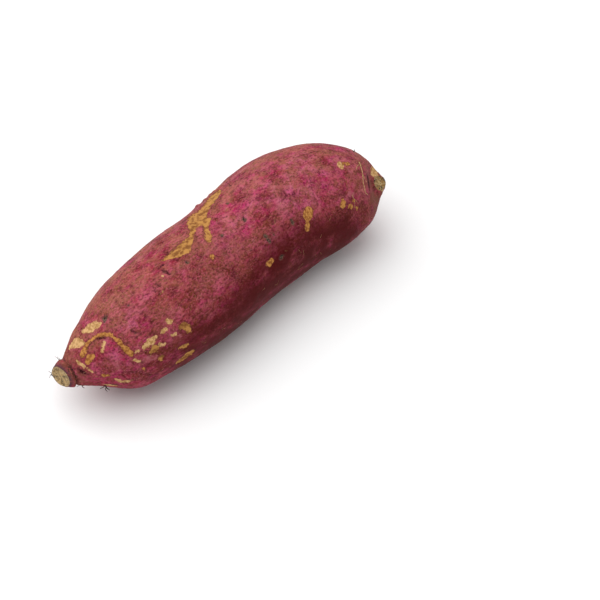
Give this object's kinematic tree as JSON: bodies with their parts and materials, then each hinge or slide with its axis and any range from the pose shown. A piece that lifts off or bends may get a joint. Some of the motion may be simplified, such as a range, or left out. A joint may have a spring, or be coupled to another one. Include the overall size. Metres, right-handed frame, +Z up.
{
  "type": "sweet potato",
  "caption": "One whole sweet potato lying on its side: a long bowed root with a trimmed crown at one end and a broken tail scar at the other.",
  "frame": {"origin": "on the resting plane, under the middle of the root's bounding box", "axes": "+X from the trimmed crown to the root tip, along the root's length; +Z up, away from the surface the root lies on"},
  "size_m": [0.1776, 0.0668, 0.052],
  "materials": {
    "skin": "matt natural root skin, red-purple with tan scars"
  },
  "bodies": {
    "root": {"sweet_potato": "skin"}
  },
  "joints": []
}
